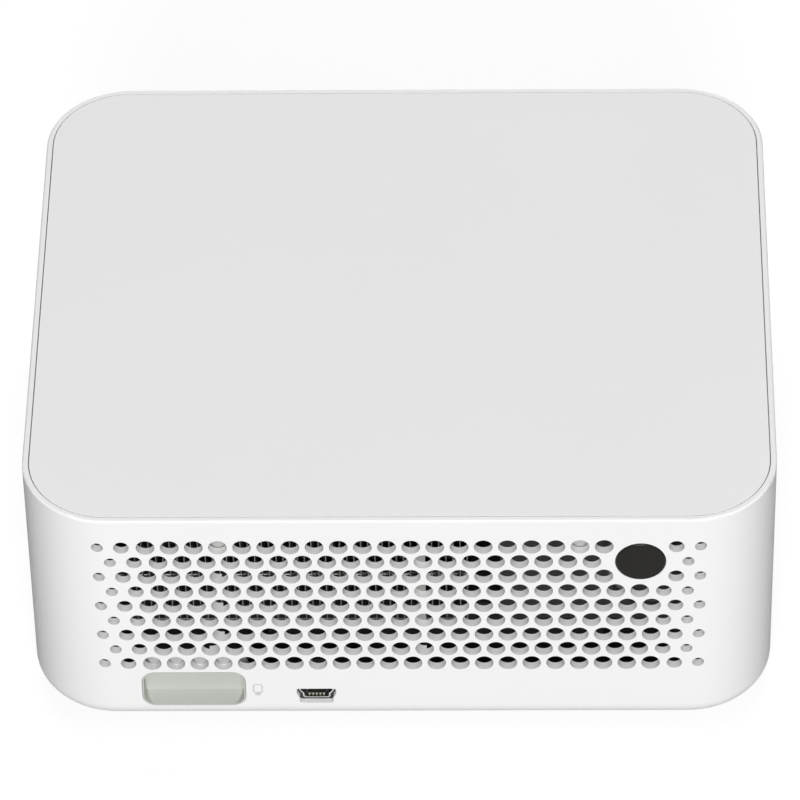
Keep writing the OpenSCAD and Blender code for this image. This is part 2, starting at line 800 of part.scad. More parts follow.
// dished cone with its voice coil
module speaker_cone() {
  color([0.2, 0.2, 0.21])
    translate([driver_x, back + 10.5, driver_z]) rotate([-90, 0, 0])
      difference() {
        union() {
          translate([0, 0, 1]) cylinder(r1 = 8.5, r2 = 4, h = 3.6);
          translate([0, 0, 4]) cylinder(r = 4, h = 7);
        }
        translate([0, 0, 0.9]) cylinder(r1 = 8.3, r2 = 3.5, h = 3.4);
        translate([0, 0, 5.2]) cylinder(r = 3.6, h = 7);
      }
}

board_spots = [[board_x0 + 6, board_y0 + 5], [board_x0 + 6, board_y1 - 6],
               [board_x0 + 38, board_y0 + 5], [board_x0 + 38, board_y1 - 6]];

module main_board() {
  color([0.1, 0.32, 0.16])
    difference() {
      block(board_x0, board_x1, board_y0, board_y1, board_z, board_top);
      for (p = board_spots) rod_z(p[0], p[1], 1.15, board_z - 1, board_top + 1);
    }
}

// chips, chokes and capacitors soldered to the main board
module board_parts() {
  color([0.12, 0.12, 0.13]) translate([board_x0, board_y0, board_top]) {
    block(16, 32, 21, 37, 0, 2.2);
    block(10, 20, 45, 57, 0, 1.4);
    block(24, 36, 47, 55, 0, 1.4);
    for (x = [10, 20, 30]) rod_z(x, board_y1 - board_y0 - 16, 3.4, 0, 11);
    for (y = [13, 25]) block(6, 12, y, y + 6, 0, 4);
  }
}

module board_spacers() {
  color([0.75, 0.75, 0.76])
    difference() {
      for (p = board_spots) rod_z(p[0], p[1], 2.6, cover_top, board_z);
      for (p = board_spots) rod_z(p[0], p[1], 1.05, cover_top - 1, board_z + 1);
    }
}

module board_screws() {
  color([0.6, 0.6, 0.62])
    for (p = board_spots) {
      rod_z(p[0], p[1], 2.2, board_top, board_top + 1.4);
      rod_z(p[0], p[1], 1, cover_top + 0.4, board_top + 0.5);
    }
}

// round inlet for the mains adapter's plug
module power_inlet() {
  color([0.08, 0.08, 0.08]) {
    difference() {
      union() {
        block(io_x - 12, io_x - 0.2, inlet_y - 4.5, inlet_y + 4.5, board_top, board_top + 9);
        rod_x(inlet_y, board_top + 4.5, 3.4, io_x - 1, io_x + 1.6);
      }
      rod_x(inlet_y, board_top + 4.5, 2.8, io_x - 10, body_w/2 + 1);
    }
    rod_x(inlet_y, board_top + 4.5, 1, io_x - 10.5, io_x + 0.6);
  }
}

module video_socket() {
  color([0.72, 0.72, 0.74]) {
    difference() {
      block(io_x - 11, io_x + 1.4, video_y - 7.5, video_y + 7.5, board_top, board_top + 5.9);
      block(io_x - 10, io_x + 3, video_y - 7.1, video_y + 7.1, board_top + 0.4, board_top + 5.5);
    }
    block(io_x - 10.5, io_x + 0.4, video_y - 6, video_y + 6, board_top + 2.3, board_top + 3.3);
  }
}

module memory_socket() {
  color([0.74, 0.74, 0.76]) {
    difference() {
      block(io_x - 13, io_x + 1.4, memory_y - 6.8, memory_y + 6.8, board_top, board_top + 7.1);
      block(io_x - 12, io_x + 3, memory_y - 6.3, memory_y + 6.3, board_top + 0.5, board_top + 6.6);
    }
    block(io_x - 12.5, io_x - 0.6, memory_y - 5.6, memory_y + 5.6, board_top + 5.1, board_top + 6.4);
  }
}

// board behind the two keys, with a switch for each
module key_board() {
  color([0.1, 0.3, 0.15]) {
    block(power_x - 8, eject_x + 6, in_front - 7, in_front - 5.6, cover_top, key_z + 6);
    for (x = [power_x, eject_x]) block(x - 3, x + 3, in_front - 6, in_front - 3.4, key_z - 3, key_z + 3);
  }
}

module key_cap(x) {
  rod_y(x, key_z, key_r, in_front - 1, front - 0.3);
  rod_y(x, key_z, key_r + 1, in_front - 1.2, in_front - 0.15);
  rod_y(x, key_z, 1.2, in_front - 2.5, in_front - 1);
}

module power_key() {
  color([0.85, 0.85, 0.85])
    difference() {
      key_cap(power_x);
      rod_y(power_x, key_z, 0.7, front - 0.8, front + 1);
    }
}

module eject_key() {
  color([0.85, 0.85, 0.85])
    difference() {
      key_cap(eject_x);
      block(eject_x - 1.3, eject_x + 1.3, front - 0.7, front + 1, key_z - 1.3, key_z - 0.8);
      stand_y(eject_x, key_z, front - 0.7, front + 1) polygon([[-1.3, -0.2], [1.3, -0.2], [0, 1.4]]);
    }
}

// drive tray: a shallow disc cavity over a deeper tub for the mechanism
module drive_case() {
  x = slot_half + 1.2;
  color([0.12, 0.12, 0.13])
    difference() {
      union() {
        block(-x, x, back + 14.2, in_front - 0.4, deck_z, cover_z);
        block(-30, 45, back + 15.4, disc_y + 13.5, tub_z, deck_z + 0.5);
        for (x = [-59, 55.6])
          block(x, x + 3.4, roller_y - 3, roller_y + 3, deck_z - 4.5, deck_z + 0.5);
      }
      block(-slot_half, slot_half, back + 15.6, front, disc_z, cover_z + 1);
      difference() {
        block(-28.8, 43.8, back + 16.6, disc_y + 12.3, tub_z + 1.2, deck_z);
        for (x = [-20, 24]) for (y = [back + 21, disc_y + 7.5]) rod_z(x, y, 1.8, tub_z, tub_z + 2.2);
      }
      rod_z(0, disc_y, 12.5, deck_z - 1, disc_z + 1);
      block(-25, 27, back + 16.6, disc_y - 8.5, deck_z - 1, disc_z + 1);
      block(-55.4, 55.4, roller_y - 2.8, roller_y + 2.8, deck_z - 1, disc_z + 1);
      rod_x(roller_y, deck_z - 1.75, 1.05, -60, 60);
    }
}

module drive_cover() {
  color([0.12, 0.12, 0.13])
    block(-slot_half - 1.2, slot_half + 1.2, back + 14.2, in_front - 0.4, cover_z, cover_top);
}

// frame that lifts the hub and the laser up to a loaded disc
module traverse_frame() {
  z = deck_z - 8.7;
  color([0.6, 0.61, 0.63]) {
    difference() {
      block(-23, 27, back + 17, disc_y + 10.5, z, z + 1);
      block(-13.5, 13.5, back + 21, disc_y - 13.5, z - 1, z + 2);
    }
    difference() {
      for (y = [back + 17, disc_y - 11]) block(-18, 25, y, y + 1.2, z + 0.5, z + 7);
      rod_y(20, z + 3.6, 1.26, back + 16, disc_y - 6);
    }
  }
}

module spindle_motor() {
  z = deck_z - 7.7;
  color([0.5, 0.5, 0.52]) {
    rod_z(0, disc_y, 8, z, z + 2);
    rod_z(0, disc_y, 1, z + 1, z + 5.8);
  }
}

// hub that grips the disc's middle hole
module disc_hub() {
  z = deck_z - 7.7;
  color([0.2, 0.2, 0.22])
    difference() {
      union() {
        rod_z(0, disc_y, 9.4, z + 2.4, z + 6.4);
        rod_z(0, disc_y, 7.3, z + 6, z + 8.3);
      }
      rod_z(0, disc_y, 1.05, z, z + 6);
      for (a = [0:120:240])
        translate([0, disc_y, 0]) rotate([0, 0, a]) block(5.6, 8, -0.8, 0.8, z + 7, z + 9);
    }
}

// carriage that takes the laser's lens across the disc
module laser_sled() {
  z = deck_z - 8.7;
  color([0.42, 0.42, 0.44]) {
    difference() {
      union() {
        block(-17, 17, disc_y - 28, disc_y - 19.5, z + 2.4, z + 8);
        block(10, 23, disc_y - 27, disc_y - 21, z + 1.6, z + 6);
      }
      for (s = [-1, 1]) rod_y(s*15, z + 5, 1.06, disc_y - 30, disc_y - 15);
      rod_y(20, z + 3.6, 1.26, disc_y - 30, disc_y - 15);
    }
    rod_z(0, disc_y - 23.75, 2.8, z + 7.5, z + 9);
  }
}

module slide_rails() {
  color([0.75, 0.75, 0.77])
    for (s = [-1, 1]) rod_y(s*15, deck_z - 3.7, 1, back + 18.2, disc_y - 11);
}

module lead_screw() {
  color([0.7, 0.7, 0.72]) {
    rod_y(20, deck_z - 5.1, 1.2, back + 17.2, disc_y - 9.9);
    rod_y(20, deck_z - 5.1, 1.7, disc_y - 12.7, disc_y - 11.3);
  }
}

module sled_motor() {
  color([0.55, 0.55, 0.57]) {
    rod_y(20, deck_z - 5.1, 2.55, disc_y - 9.8, disc_y + 1.5);
    block(17.6, 22.4, disc_y - 8.5, disc_y + 0.5, deck_z - 7.7, deck_z - 5);
  }
}

// rubber roller that draws a disc in behind the slot
module feed_roller() {
  color([0.1, 0.1, 0.1]) {
    rod_x(roller_y, deck_z - 1.75, 2.4, -54.5, 54.5);
    rod_x(roller_y, deck_z - 1.75, 1, -58.8, 58.8);
  }
}

module drive_ribbon() {
  side = slot_half + 3.2;
  thick = 0.3;
  color([0.85, 0.85, 0.82]) {
    block(45, side + thick, 0, 12, deck_z - 8, deck_z - 8 + thick);
    block(side, side + thick, 0, 12, deck_z - 8, board_z);
    block(side - 8, side + thick, 0, 12, board_z - thick, board_z);
  }
}

housing_shell();
top_plate();
base_plate();
rubber_feet();
base_screws();
tripod_bush();
tilt_stand();
stand_pin();
remote_window();
remote_board();
inner_frame();
grille_strip();
wireless_stick();
stick_plug();
stick_bay();
stick_socket();
service_port();
port_tongue();
port_board();
heatsink_fins();
heat_pipes();
left_fan_frame();
right_fan_frame();
left_fan_rotor();
right_fan_rotor();
engine_housing();
engine_cover();
lamp_modules();
chip_board();
prism_block();
lens_barrel();
focus_ring();
lens_cell();
lens_glass();
lens_bezel();
speaker_box();
speaker_frame();
speaker_magnet();
speaker_cone();
main_board();
board_parts();
board_spacers();
board_screws();
power_inlet();
video_socket();
memory_socket();
key_board();
power_key();
eject_key();
drive_case();
drive_cover();
traverse_frame();
spindle_motor();
disc_hub();
laser_sled();
slide_rails();
lead_screw();
sled_motor();
feed_roller();
drive_ribbon();
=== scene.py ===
# %% [markdown]
# A compact white projector, dressed for its portrait
#
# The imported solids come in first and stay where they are: they are the real sizes, in metres.
# This file gives them light, a camera and finishes, and adds the few small shapes that the
# solids leave out. Those are placed from the solids' own boxes, so nothing has to be fitted.

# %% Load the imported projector
import json
import math

import bpy
from mathutils import Matrix, Vector


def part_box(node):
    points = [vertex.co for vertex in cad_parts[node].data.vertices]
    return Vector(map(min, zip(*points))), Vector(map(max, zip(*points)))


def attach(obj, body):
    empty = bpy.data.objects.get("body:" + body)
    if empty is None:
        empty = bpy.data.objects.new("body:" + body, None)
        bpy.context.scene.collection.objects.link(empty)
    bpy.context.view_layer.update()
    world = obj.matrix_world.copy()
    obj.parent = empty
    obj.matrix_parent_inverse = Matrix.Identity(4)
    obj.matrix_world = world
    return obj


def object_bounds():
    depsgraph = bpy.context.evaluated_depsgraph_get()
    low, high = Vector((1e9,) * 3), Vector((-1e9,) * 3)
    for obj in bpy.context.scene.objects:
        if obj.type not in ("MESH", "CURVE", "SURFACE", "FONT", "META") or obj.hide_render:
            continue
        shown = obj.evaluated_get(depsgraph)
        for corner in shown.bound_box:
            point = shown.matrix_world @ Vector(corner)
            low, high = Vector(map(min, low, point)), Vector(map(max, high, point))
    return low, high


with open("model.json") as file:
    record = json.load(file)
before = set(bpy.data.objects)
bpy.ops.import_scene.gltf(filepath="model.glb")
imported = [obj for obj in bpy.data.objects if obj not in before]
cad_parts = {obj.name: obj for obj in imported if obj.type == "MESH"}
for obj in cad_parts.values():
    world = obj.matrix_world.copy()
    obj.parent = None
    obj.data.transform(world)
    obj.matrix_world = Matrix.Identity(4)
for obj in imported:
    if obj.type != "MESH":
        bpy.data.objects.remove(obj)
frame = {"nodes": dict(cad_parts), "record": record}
cad_box = [list(corner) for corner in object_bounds()]
nodes = frame["nodes"]
bpy.ops.object.select_all(action="DESELECT")
MM = 0.001
TOP = cad_box[1][2]


def in_mm(numbers, digits=1):
    return [round(number / MM, digits) for number in numbers]


print("pieces loaded:", len(nodes), "box in mm:", [in_mm(corner) for corner in cad_box])

# %% [markdown]
# The camera looks down on the exhaust side from far off through a long lens, so the upright
# edges lean in only a little. The place and turn below were found from the rows of holes, the
# outline and the seam of the lid, so the picture lands on the photograph to within a pixel.
# The turn is built as a matrix from three directions, which is easier to trust than three
# Euler angles when the camera is also rolled a little.

# %% Camera
AZIMUTH = math.radians(-1.5428)
ELEVATION = math.radians(43.9767)
ROLL = math.radians(-1.2476)
DISTANCE = 1.41482
TARGET = Vector((-0.000914, 0.0, TOP - 0.03210))
SENSOR_WIDTH_MM = 36.0
LENS_MM = 279.11
CLIP_NEAR = 0.05
CLIP_FAR = 20.0


def aim_camera():
    away = Vector((math.sin(AZIMUTH) * math.cos(ELEVATION),
                   math.cos(AZIMUTH) * math.cos(ELEVATION),
                   -math.sin(ELEVATION)))
    right = Vector((math.cos(AZIMUTH), -math.sin(AZIMUTH), 0.0))
    up = right.cross(away)
    side = right * math.cos(ROLL) + up * math.sin(ROLL)
    over = up * math.cos(ROLL) - right * math.sin(ROLL)
    turn = Matrix((side, over, -away)).transposed().to_4x4()
    return Matrix.Translation(TARGET - away * DISTANCE) @ turn


bpy.ops.object.camera_add()
camera = bpy.context.object
camera.name = "camera"
camera.matrix_world = aim_camera()
camera.data.sensor_width = SENSOR_WIDTH_MM
camera.data.lens = LENS_MM
camera.data.clip_start = CLIP_NEAR
camera.data.clip_end = CLIP_FAR
scene = bpy.context.scene
scene.camera = camera
print("camera at", [round(v, 4) for v in camera.location])

# %% [markdown]
# The world is white to the camera, to mirrors and through glass, as a paper sweep would be.
# What it adds as light is set apart and weak, because a white world lights every face alike
# and flattens the edges of a white object. A Light Path node tells the two uses apart, and
# the same small helper serves the table below.

# %% World
WHITE = (1.0, 1.0, 1.0, 1.0)
SKY_TINT = (0.97, 0.98, 1.0, 1.0)
SKY_LIGHT = 0.04


def seen_rays(tree):
    rays = tree.nodes.new("ShaderNodeLightPath")
    total = rays.outputs["Is Camera Ray"]
    for kind in ("Is Glossy Ray", "Is Transmission Ray"):
        either = tree.nodes.new("ShaderNodeMath")
        either.operation = "MAXIMUM"
        tree.links.new(total, either.inputs[0])
        tree.links.new(rays.outputs[kind], either.inputs[1])
        total = either.outputs[0]
    return total


def background(tree, colour, strength):
    node = tree.nodes.new("ShaderNodeBackground")
    node.inputs["Color"].default_value = colour
    node.inputs["Strength"].default_value = strength
    return node


def choose_shader(tree, unseen, seen, output):
    pick = tree.nodes.new("ShaderNodeMixShader")
    tree.links.new(seen_rays(tree), pick.inputs[0])
    tree.links.new(unseen.outputs[0], pick.inputs[1])
    tree.links.new(seen.outputs[0], pick.inputs[2])
    tree.links.new(pick.outputs[0], tree.nodes.new(output).inputs["Surface"])


scene.view_settings.view_transform = "Standard"
world = bpy.data.worlds.new("studio")
scene.world = world
world.use_nodes = True
world.node_tree.nodes.clear()
choose_shader(world.node_tree, background(world.node_tree, SKY_TINT, SKY_LIGHT),
              background(world.node_tree, WHITE, 1.0), "ShaderNodeOutputWorld")
print("world light:", SKY_LIGHT)

# %% [markdown]
# White plastic on a white ground has to be drawn by its shading. One broad light stands
# straight ahead of the exhaust side, with a softer one above it and one over the far edge for
# the lid. The two that are left are weak: one to the right, and a low one behind for the lens
# side. With so little light at the sides, the upright corners fall off to grey, and that holds
# the outline.


# %% Lamps
AIM_POINT = Vector((0.0, 0.0, 0.03))


def soft_box(name, place, size, watts):
    bpy.ops.object.light_add(type="AREA", location=place)
    lamp = bpy.context.object
    lamp.name = name
    lamp.data.shape = "RECTANGLE"
    lamp.data.size = size[0]
    lamp.data.size_y = size[1]
    lamp.data.energy = watts
    lamp.rotation_euler = (AIM_POINT - Vector(place)).to_track_quat("-Z", "Y").to_euler()
    print("lamp", name, "at", place, "watts", watts)


soft_box("front_box", place=(0.0, -3.1, 1.47), size=(1.4, 1.0), watts=93.0)
soft_box("high_box", place=(0.0, -2.4, 2.2), size=(1.4, 1.0), watts=14.4)
soft_box("top_box", place=(0.0, 0.9, 2.6), size=(1.4, 0.8), watts=26.0)
soft_box("right_box", place=(1.5, -0.3, 0.7), size=(0.8, 0.8), watts=2.5)
soft_box("back_box", place=(0.0, 1.7, 0.16), size=(0.9, 0.2), watts=16.0)

# %% [markdown]
# The table is one large pale plane. Part of its brightness is its own, shown to the camera
# and to mirrors alone, so that it reads as the photograph's white; the rest comes from the
# lamps, so the shadow under the body stays. That own part rises with the distance, because
# the lamps reach the far end less, and the table would otherwise end in a grey line.

# %% Table top
TABLE_SIDE = 8.0
TABLE_UNSEEN = 0.25
TABLE_SEEN = 0.24
GLOW_START = 0.5
GLOW_END = 2.0
GLOW_NEAR = 0.83
GLOW_FAR = 1.0


def matt_grey(tree, level):
    node = tree.nodes.new("ShaderNodeBsdfDiffuse")
    node.inputs["Color"].default_value = (level, level, level, 1.0)
    return node


def object_place(tree):
    return tree.nodes.new("ShaderNodeTexCoord").outputs["Object"]


def make_glow(tree):
    reach = tree.nodes.new("ShaderNodeVectorMath")
    reach.operation = "LENGTH"
    tree.links.new(object_place(tree), reach.inputs[0])
    rise = tree.nodes.new("ShaderNodeMapRange")
    rise.inputs["From Min"].default_value = GLOW_START
    rise.inputs["From Max"].default_value = GLOW_END
    rise.inputs["To Min"].default_value = GLOW_NEAR
    rise.inputs["To Max"].default_value = GLOW_FAR
    tree.links.new(reach.outputs["Value"], rise.inputs["Value"])
    glow = tree.nodes.new("ShaderNodeEmission")
    tree.links.new(rise.outputs[0], glow.inputs["Strength"])
    return glow


bpy.ops.mesh.primitive_plane_add(size=1.0)
table = bpy.context.object
table.name = "table_top"
bpy.ops.object.mode_set(mode="EDIT")
bpy.ops.mesh.select_all(action="SELECT")
bpy.ops.transform.resize(value=(TABLE_SIDE, TABLE_SIDE, 1.0))
bpy.ops.object.mode_set(mode="OBJECT")
table_white = bpy.data.materials.new("table_white")
table_white.use_nodes = True
tree = table_white.node_tree
tree.nodes.clear()
added = tree.nodes.new("ShaderNodeAddShader")
tree.links.new(matt_grey(tree, TABLE_SEEN).outputs[0], added.inputs[0])
tree.links.new(make_glow(tree).outputs[0], added.inputs[1])
choose_shader(tree, matt_grey(tree, TABLE_UNSEEN), added, "ShaderNodeOutputMaterial")
table.data.materials.append(table_white)
print("table:", [round(v, 2) for v in table.dimensions])

# %% [markdown]
# Finishes are trees of nodes, and the same few moves come back in all of them: a noise, a sum,
# a mix of two colours. They are small helpers here, so that a finish reads as a recipe. A
# shared effect is a node group: it is built once, has named inputs and outputs, and each
# material places it with its own numbers. A Mix node hides one set of sockets for each kind
# of value under the same labels, so its colour sockets are called by number: 6, 7 and 2.


# %% Node helpers
COLOUR_A = 6
COLOUR_B = 7
COLOUR_OUT = 2


def new_group(name, inputs, outputs):
    group = bpy.data.node_groups.new(name, "ShaderNodeTree")
    for label, value in inputs:
        socket = group.interface.new_socket(label, in_out="INPUT", socket_type="NodeSocketFloat")
        socket.default_value = value
    for label in outputs:
        group.interface.new_socket(label, in_out="OUTPUT", socket_type="NodeSocketFloat")
    return group, group.nodes.new("NodeGroupInput"), group.nodes.new("NodeGroupOutput")


def place_group(tree, group, values):
    node = tree.nodes.new("ShaderNodeGroup")
    node.node_tree = group
    for label, value in values.items():
        node.inputs[label].default_value = value
    return node


def split_axes(tree, vector):
    split = tree.nodes.new("ShaderNodeSeparateXYZ")
    tree.links.new(vector, split.inputs[0])
    return split.outputs[:3]


def noise_node(tree, coords, scale, detail, rough):
    node = tree.nodes.new("ShaderNodeTexNoise")
    node.inputs["Scale"].default_value = scale
    node.inputs["Detail"].default_value = detail
    node.inputs["Roughness"].default_value = rough
    tree.links.new(coords, node.inputs["Vector"])
    return node


def math_node(tree, operation, a, b=None, clamp=False):
    node = tree.nodes.new("ShaderNodeMath")
    node.operation = operation
    node.use_clamp = clamp
    for socket, value in zip(node.inputs, (a, b)):
        if isinstance(value, (int, float)):
            socket.default_value = value
        elif value is not None:
            tree.links.new(value, socket)
    return node.outputs[0]


def mix_colours(tree, factor, colour_a, colour_b):
    mix = tree.nodes.new("ShaderNodeMix")
    mix.data_type = "RGBA"
    for index, colour in ((COLOUR_A, colour_a), (COLOUR_B, colour_b)):
        if isinstance(colour, tuple):
            mix.inputs[index].default_value = (*colour, 1.0)
        else:
            tree.links.new(colour, mix.inputs[index])
    tree.links.new(factor, mix.inputs[0])
    return mix.outputs[COLOUR_OUT]


print("node helpers ready")

# %% [markdown]
# Moulded plastic is never quite even: it has a fine spark-eroded grain, and its gloss drifts
# slowly over a hand's width. Drawn and milled metal has long fine lines instead, with a faint
# stain over them. Object coordinates are the real metres here, so a scale of 5000 makes a
# grain of a fifth of a millimetre on every piece, large or small.

# %% Grain and drawn lines
GRAIN_SCALE = 5000.0
DRIFT_SCALE = 22.0
LINES_ALONG = 40.0
LINES_ACROSS = 3000.0
STAIN_SCALE = 90.0


def make_grain():
    group, inlet, outlet = new_group(
        "moulded_grain", [("Fine Scale", GRAIN_SCALE), ("Drift Scale", DRIFT_SCALE)],
        ["Height", "Drift"])
    coords = object_place(group)
    fine = noise_node(group, coords, GRAIN_SCALE, 2.0, 0.6)
    slow = noise_node(group, coords, DRIFT_SCALE, 3.0, 0.5)
    group.links.new(inlet.outputs["Fine Scale"], fine.inputs["Scale"])
    group.links.new(inlet.outputs["Drift Scale"], slow.inputs["Scale"])
    group.links.new(fine.outputs[0], outlet.inputs["Height"])
    group.links.new(slow.outputs[0], outlet.inputs["Drift"])
    return group


def make_lines():
    group, inlet, outlet = new_group(
        "drawn_lines", [("Along", LINES_ALONG), ("Across", LINES_ACROSS)], ["Height", "Mask"])
    coords = object_place(group)
    join = group.nodes.new("ShaderNodeCombineXYZ")
    stretches = ("Along", "Across", "Across")
    for axis, label, socket in zip(split_axes(group, coords), stretches, join.inputs):
        group.links.new(math_node(group, "MULTIPLY", axis, inlet.outputs[label]), socket)
    lines = noise_node(group, join.outputs[0], 1.0, 3.0, 0.6)
    stain = noise_node(group, coords, STAIN_SCALE, 3.0, 0.6)
    group.links.new(lines.outputs[0], outlet.inputs["Height"])
    group.links.new(stain.outputs[0], outlet.inputs["Mask"])
    return group


GRAIN = make_grain()
LINES = make_lines()
print("node groups:", [group.name for group in bpy.data.node_groups])

# %% [markdown]
# Every finish starts as one Principled shader wired to the output, and most end with a bump. A
# noise seldom leaves the middle of its range, so it is stretched from 0.3-0.7 before it drives
# anything, or its effect would hardly show.


# %% Finish helpers
NOISE_LOW = 0.3
NOISE_HIGH = 0.7


def stretch(tree, value, low, high):
    node = tree.nodes.new("ShaderNodeMapRange")
    for label, number in (("From Min", NOISE_LOW), ("From Max", NOISE_HIGH),
                          ("To Min", low), ("To Max", high)):
        node.inputs[label].default_value = number
    tree.links.new(value, node.inputs[0])
    return node.outputs[0]


def start_finish(name):
    finish = bpy.data.materials.new(name)
    finish.use_nodes = True
    finish.node_tree.nodes.clear()
    shader = finish.node_tree.nodes.new("ShaderNodeBsdfPrincipled")
    output = finish.node_tree.nodes.new("ShaderNodeOutputMaterial")
    finish.node_tree.links.new(shader.outputs[0], output.inputs["Surface"])
    return finish, finish.node_tree, shader


def add_bump(tree, shader, height, strength, distance):
    bump = tree.nodes.new("ShaderNodeBump")
    bump.inputs["Strength"].default_value = strength
    bump.inputs["Distance"].default_value = distance
    tree.links.new(height, bump.inputs["Height"])
    tree.links.new(bump.outputs["Normal"], shader.inputs["Normal"])


print("finish helpers ready, noise read from", NOISE_LOW, "to", NOISE_HIGH)

# %% [markdown]
# Two recipes cover nearly every piece. Both let the colour wander between two close tones and
# let the roughness wander too: mouldings read the grain, and drawn metal reads the lines. The
# solids come with plain materials of the same names, so Blender may add .001 to a new one, and
# the list of finishes is kept by the part of the name before the point.


# %% Two recipes
COAT_ROUGHNESS = 0.08
LINE_BUMP = 0.2
LINE_DEPTH = 0.02 * MM


def moulding(name, tone_a, tone_b, rough, grain=GRAIN_SCALE, bump=0.15, deep=0.04 * MM,
             specular=0.5, metal=0.0, coat=0.0):
    finish, tree, shader = start_finish(name)
    effect = place_group(tree, GRAIN, {"Fine Scale": grain, "Drift Scale": DRIFT_SCALE})
    drift = effect.outputs["Drift"]
    colour = mix_colours(tree, stretch(tree, drift, 0.0, 1.0), tone_a, tone_b)
    tree.links.new(colour, shader.inputs["Base Color"])
    tree.links.new(stretch(tree, drift, *rough), shader.inputs["Roughness"])
    shader.inputs["Specular IOR Level"].default_value = specular
    shader.inputs["Metallic"].default_value = metal
    shader.inputs["Coat Weight"].default_value = coat
    shader.inputs["Coat Roughness"].default_value = COAT_ROUGHNESS
    add_bump(tree, shader, effect.outputs["Height"], bump, deep)
    return finish


def drawn_metal(name, tone_a, tone_b, rough):
    finish, tree, shader = start_finish(name)
    effect = place_group(tree, LINES, {"Along": LINES_ALONG, "Across": LINES_ACROSS})
    colour = mix_colours(tree, effect.outputs["Mask"], tone_a, tone_b)
    tree.links.new(colour, shader.inputs["Base Color"])
    tree.links.new(stretch(tree, effect.outputs["Height"], *rough), shader.inputs["Roughness"])
    shader.inputs["Metallic"].default_value = 1.0
    add_bump(tree, shader, effect.outputs["Height"], LINE_BUMP, LINE_DEPTH)
    return finish


finishes = {}


def keep(*made):
    for finish in made:
        finishes[finish.name.split(".")[0]] = finish
    print("finishes so far:", len(finishes))


# %% [markdown]
# The case and its lid are nearly white and matt. Their gloss is kept far under that of common
# plastic, because a white wall that mirrors a white room at a low angle loses its edge. The
# keys are a touch glossier, and the stick's end is a pale grey-green of its own.

# %% Pale plastics
keep(
    moulding("white_case", (0.925, 0.925, 0.92), (0.935, 0.935, 0.93), (0.58, 0.66),
             specular=0.08),
    moulding("white_lid", (0.915, 0.915, 0.91), (0.925, 0.925, 0.92), (0.68, 0.76),
             bump=0.08, specular=0.04),
    moulding("white_key", (0.86, 0.86, 0.855), (0.89, 0.89, 0.885), (0.4, 0.48)),
    moulding("pale_stick", (0.52, 0.54, 0.50), (0.56, 0.58, 0.54), (0.5, 0.58), specular=0.3),
    # grey_plastic and mid_grey are for inner parts seen through the grille holes; their grey
    # tones are painted shade for the dark behind the holes.
    moulding("grey_plastic", (0.40, 0.40, 0.395), (0.46, 0.46, 0.45), (0.5, 0.6), specular=0.2),
    moulding("mid_grey", (0.22, 0.22, 0.215), (0.27, 0.27, 0.265), (0.5, 0.6)),
    moulding("ribbon_film", (0.68, 0.68, 0.65), (0.76, 0.76, 0.73), (0.3, 0.4)),
)

# %% [markdown]
# The works are mostly dark, and they differ by gloss and grain more than by tone: soft rubber
# feet, a smoked window with almost no grain, fan blades with a faint shine, and the lens ring's
# matt rubber. Black is never written as zero, because real black plastic still gives back a
# few parts in a hundred.

# %% Dark plastics, rubber and paper
keep(
    moulding("dark_plastic", (0.045, 0.045, 0.047), (0.06, 0.06, 0.062), (0.5, 0.62),
             grain=3500.0, bump=0.3),
    moulding("black_plastic", (0.02, 0.02, 0.02), (0.035, 0.035, 0.035), (0.4, 0.55)),
    moulding("fan_plastic", (0.03, 0.03, 0.033), (0.045, 0.045, 0.05), (0.35, 0.5)),
    moulding("gloss_black", (0.008, 0.008, 0.008), (0.014, 0.014, 0.014), (0.1, 0.16),
             bump=0.03, coat=0.6),
    moulding("smoked_window", (0.006, 0.0055, 0.004), (0.009, 0.008, 0.006), (0.16, 0.24),
             bump=0.02, specular=0.18),
    moulding("rubber", (0.02, 0.02, 0.02), (0.035, 0.035, 0.035), (0.75, 0.9), grain=2500.0,
             bump=0.4),
    moulding("ring_rubber", (0.025, 0.025, 0.025), (0.04, 0.04, 0.04), (0.55, 0.7)),
    moulding("cone_paper", (0.03, 0.03, 0.03), (0.055, 0.055, 0.052), (0.8, 0.95), grain=1500.0,
             bump=0.7, deep=0.2 * MM),
)

# %% [markdown]
# Cast and painted metal has a grain like a moulding, only coarser, and is partly metallic.
# Sheet, rod and foil show the lines that they were drawn with. The heat pipes are plated dark,
# and their tone is set almost black as painted shade for the dark behind the grille: in the
# photograph they show as dark bars with a thin glint.

# %% Metals
keep(
    moulding("cast_box", (0.14, 0.14, 0.15), (0.2, 0.2, 0.21), (0.5, 0.7), grain=1600.0,
             bump=0.5, deep=0.1 * MM, metal=0.6),
    moulding("dark_metal", (0.16, 0.16, 0.17), (0.24, 0.24, 0.25), (0.45, 0.65), grain=1800.0,
             bump=0.4, metal=0.7),
    moulding("black_metal", (0.018, 0.018, 0.02), (0.03, 0.03, 0.032), (0.4, 0.6), grain=2200.0,
             bump=0.3, metal=0.2),
    drawn_metal("steel", (0.55, 0.55, 0.56), (0.66, 0.66, 0.67), (0.25, 0.4)),
    drawn_metal("plated_steel", (0.68, 0.68, 0.70), (0.78, 0.78, 0.79), (0.12, 0.28)),
    drawn_metal("fin_metal", (0.40, 0.405, 0.41), (0.52, 0.525, 0.53), (0.35, 0.5)),
    drawn_metal("brass", (0.72, 0.52, 0.22), (0.8, 0.62, 0.3), (0.28, 0.45)),
    drawn_metal("copper", (0.80, 0.48, 0.34), (0.9, 0.6, 0.45), (0.2, 0.35)),
    # This nickel is almost black: dark plating plus painted shade for the pipes' place behind
    # the grille.
    drawn_metal("nickel", (0.015, 0.015, 0.014), (0.032, 0.032, 0.03), (0.1, 0.18)),
    drawn_metal("contact_plate", (0.24, 0.24, 0.19), (0.32, 0.32, 0.25), (0.3, 0.45)),
)

# %% [markdown]
# The lens is coated, so its tint drifts between a cold and a warm hint while it stays clear.
# Transmission is left plain, because a pattern there would look like dirt in the glass.


